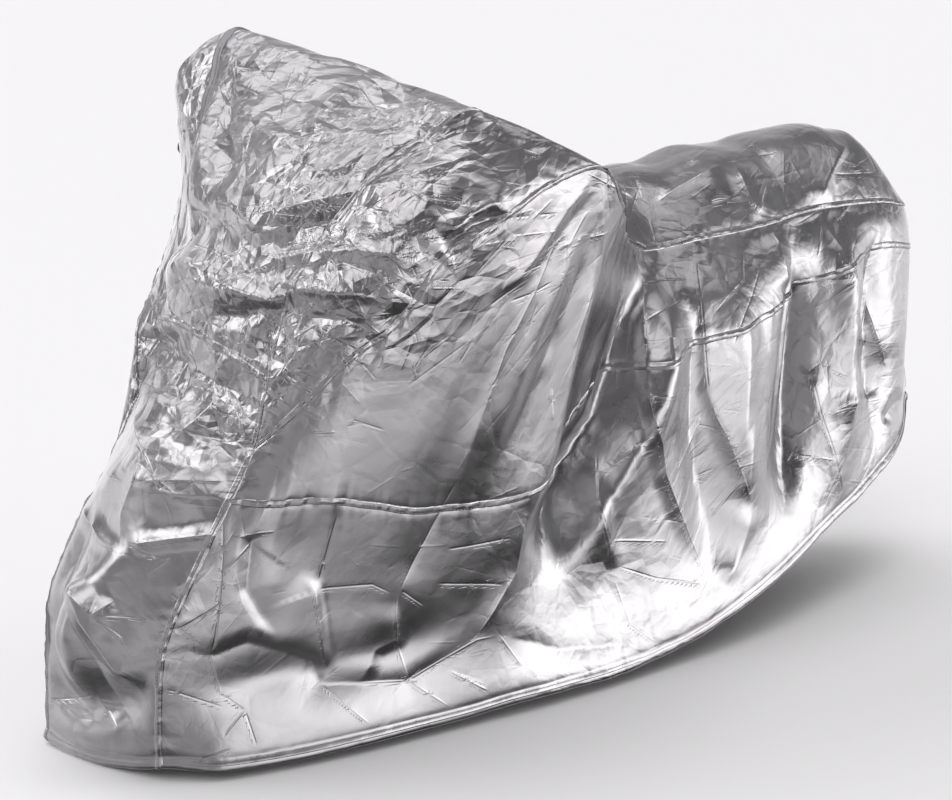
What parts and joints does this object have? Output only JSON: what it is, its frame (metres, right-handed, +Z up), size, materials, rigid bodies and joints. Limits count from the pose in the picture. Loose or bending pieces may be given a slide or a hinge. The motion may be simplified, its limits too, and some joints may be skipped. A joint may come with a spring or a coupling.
{
  "type": "motorcycle cover",
  "caption": "Silver coated-fabric motorcycle cover, hollow and draped: high over handlebars and mirrors, low over the seat, with sewn panels, main folds and a hem near the floor.",
  "frame": {"origin": "on the floor, below the middle of the cover's box", "axes": "+X from the front wheel to the tail, +Y to the machine's right side, +Z up"},
  "size_m": [2.2372, 0.9214, 1.2972],
  "materials": {
    "silver_cloth": "metallic satin coating"
  },
  "bodies": {
    "root": {"front_panel": "silver_cloth", "top_panel": "silver_cloth", "left_lower_side": "silver_cloth", "left_upper_side": "silver_cloth", "left_cheek": "silver_cloth", "right_lower_side": "silver_cloth", "right_upper_side": "silver_cloth", "right_cheek": "silver_cloth"}
  },
  "joints": []
}
